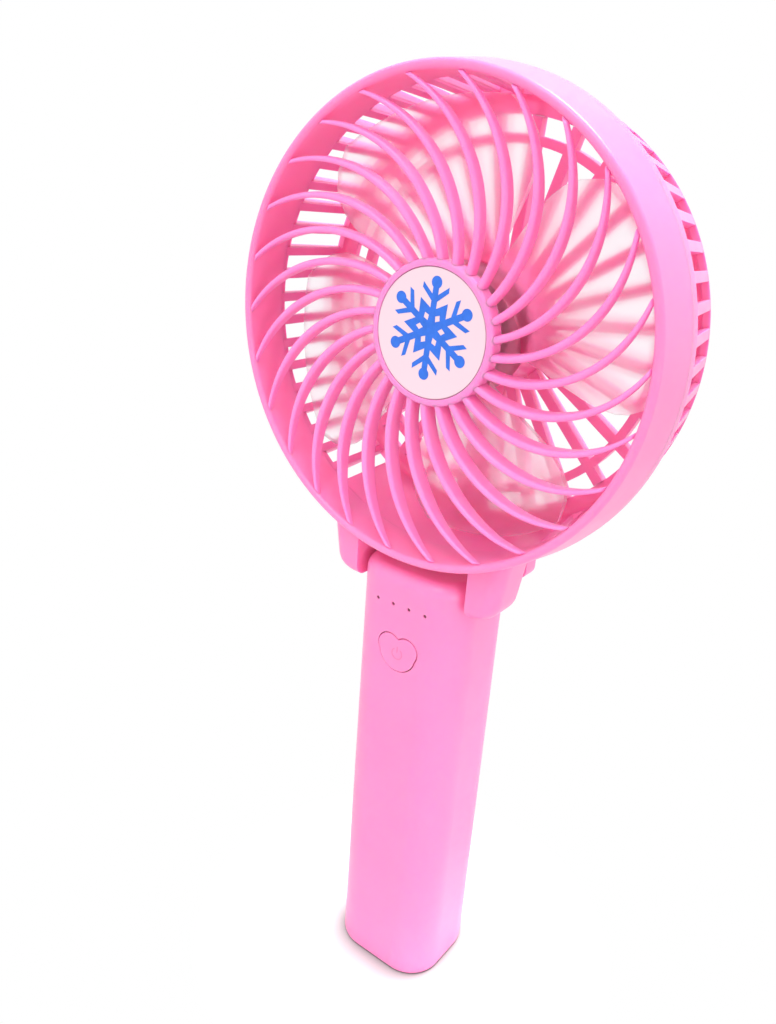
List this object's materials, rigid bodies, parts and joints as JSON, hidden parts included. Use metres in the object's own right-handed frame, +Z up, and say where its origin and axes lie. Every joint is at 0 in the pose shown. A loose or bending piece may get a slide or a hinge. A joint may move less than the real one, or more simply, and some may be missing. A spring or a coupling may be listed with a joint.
{
  "type": "handheld fan",
  "caption": "Rechargeable handheld fan: round caged head with swirled front vanes and a bladed rotor, tilting in a fork on a rounded-square battery handle that stands on its base.",
  "frame": {"origin": "middle of the flat base that the handle stands on", "axes": "+Z up along the handle, -Y the way the grille faces, +X to the right of a viewer who faces the grille"},
  "size_m": [0.104, 0.0353, 0.2272],
  "materials": {
    "pink_shell": "satin moulded plastic",
    "badge": "printed disc",
    "frosted_blade": "frosted translucent plastic",
    "steel": "plated",
    "copper": "plain",
    "black_plastic": "moulded",
    "nylon": "plain",
    "cell_sleeve": "shrink sleeve",
    "board": "solder mask",
    "led": "clear",
    "light_pipe": "clear"
  },
  "bodies": {
    "handle": {"handle_body": "pink_shell", "rear_cover": "pink_shell", "cover_screws": "steel", "hinge_pin_left": "steel", "hinge_pin_right": "steel", "battery_cell": "cell_sleeve", "contact_top": "copper", "contact_bottom": "steel", "circuit_board": "board", "board_screws": "steel", "tact_switch": "black_plastic", "status_leds": "led", "light_pipes": "light_pipe", "usb_socket": "steel"},
    "head": {"front_shell": "pink_shell", "front_grille": "pink_shell", "hub_badge": "badge", "rear_ring": "pink_shell", "rear_grille": "pink_shell", "cage_screws": "steel", "motor_can": "steel", "motor_bush": "copper", "motor_end_bell": "black_plastic", "motor_screws": "steel", "hinge_bush_left": "nylon", "hinge_bush_right": "nylon"},
    "rotor": {"impeller": "frosted_blade", "motor_shaft": "steel", "motor_rotor": "copper"},
    "button": {"power_button": "pink_shell"}
  },
  "joints": [
    {"name": "head_tilt", "type": "hinge", "parent": "handle", "child": "head", "pos_m": [0, -0.003, 0.1168], "axis": [1, 0, 0], "range_deg": [-40, 15]},
    {"name": "rotor_spin", "type": "hinge", "parent": "head", "child": "rotor", "pos_m": [0, 0, 0.1752], "axis": [0, 1, 0], "continuous": true},
    {"name": "button_press", "type": "slide", "parent": "handle", "child": "button", "axis": [0, 1, 0], "range_m": [0, 0.0006], "stiffness_N_per_m": 1500}
  ]
}
